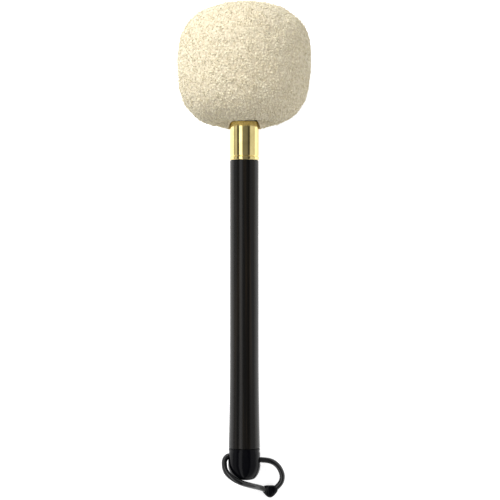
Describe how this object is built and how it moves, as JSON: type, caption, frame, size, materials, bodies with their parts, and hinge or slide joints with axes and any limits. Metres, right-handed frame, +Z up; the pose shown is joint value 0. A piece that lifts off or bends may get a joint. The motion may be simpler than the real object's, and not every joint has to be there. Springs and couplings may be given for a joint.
{
  "type": "gong mallet",
  "caption": "Hand mallet for striking a gong: fleece barrel head, brass ferrule, black turned handle, and a cord loop through the butt cap.",
  "frame": {"origin": "on the table under the middle of the mallet's length, where it lies on its head and its butt cap", "axes": "+Z up, +Y from the butt towards the head, +X to the right when the butt is nearest"},
  "size_m": [0.102, 0.3805, 0.1034],
  "materials": {
    "black_lacquer": "black satin lacquer on hardwood",
    "polished_brass": "polished",
    "black_vinyl": "glossy dipped vinyl",
    "black_cord": "glossy round cord",
    "black_thread": "waxed thread",
    "cream_fleece": "short curly wool pile",
    "wool_wadding": "loose wool",
    "grey_felt": "hard felt",
    "core_wood": "bare turned hardwood",
    "zinc_steel": "zinc plated"
  },
  "bodies": {
    "mallet": {"handle_shaft": "black_lacquer", "brass_ferrule": "polished_brass", "butt_cap": "black_vinyl", "head_core": "core_wood", "core_washer": "zinc_steel", "core_screw": "zinc_steel", "felt_wrap_inner": "grey_felt", "felt_wrap_outer": "grey_felt", "felt_disc_bottom": "grey_felt", "felt_disc_top": "grey_felt", "wadding": "wool_wadding", "neck_whipping": "black_thread", "fleece_cover": "cream_fleece"},
    "wrist_loop": {"wrist_cord": "black_cord", "cord_end_sleeve": "black_vinyl"}
  },
  "joints": [
    {"name": "loop_swing", "type": "hinge", "parent": "mallet", "child": "wrist_loop", "pos_m": [0, -0.1662, 0.01323], "axis": [-0.9903, 0.1381, 0.0175], "range_deg": [0, 95]}
  ]
}
